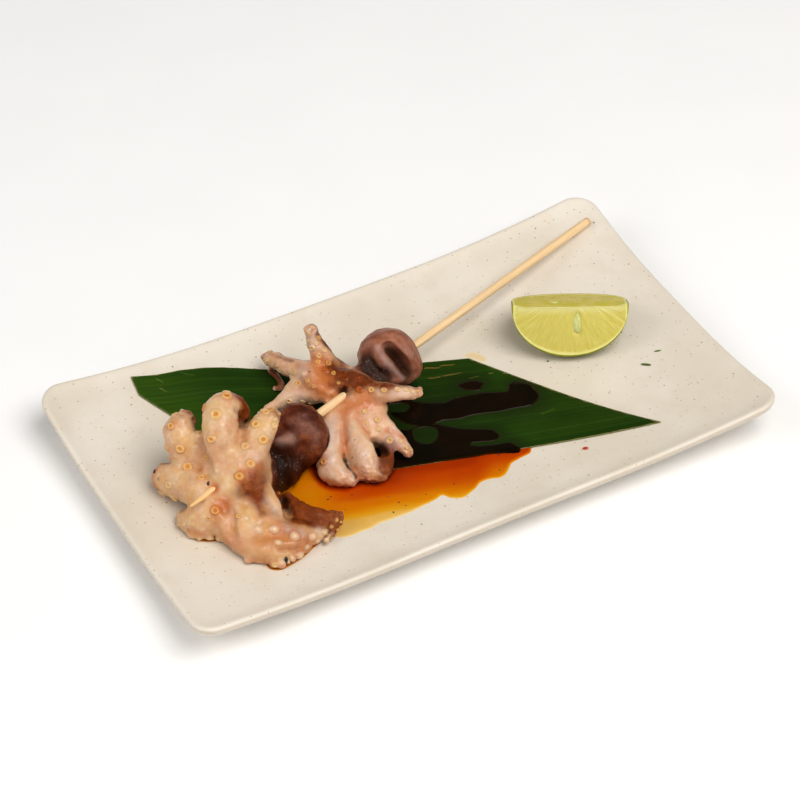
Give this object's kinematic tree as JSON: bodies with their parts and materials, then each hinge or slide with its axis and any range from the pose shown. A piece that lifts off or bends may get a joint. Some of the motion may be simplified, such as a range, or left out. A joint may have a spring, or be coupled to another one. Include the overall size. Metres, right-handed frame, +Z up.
{
  "type": "cooked octopus skewer on a plate",
  "caption": "Cooked baby octopuses threaded on a bamboo skewer, served with a piece of banana leaf, dark sauce and a lime wedge on a long speckled stoneware plate.",
  "frame": {"origin": "middle of the plate's flat foot, where it stands on the table", "axes": "+X along the plate's long side, +Y across it towards the far long side, +Z up"},
  "size_m": [0.2698, 0.1571, 0.0516],
  "materials": {
    "glaze": "warm off-white satin glaze with fine brown speckles",
    "banana_leaf": "dark green leaf with fine parallel veins, wet with sauce in places",
    "bamboo": "pale split bamboo with lengthwise grain",
    "octopus_flesh": "moist cooked skin, cream to pink with a brown back and orange suckers",
    "lime_flesh": "moist yellow-green pulp under a thin green rind"
  },
  "bodies": {
    "root": {"plate": "glaze", "leaf": "banana_leaf", "skewer": "bamboo", "octopus_front": "octopus_flesh", "octopus_back": "octopus_flesh", "lime_wedge": "lime_flesh"}
  },
  "joints": []
}
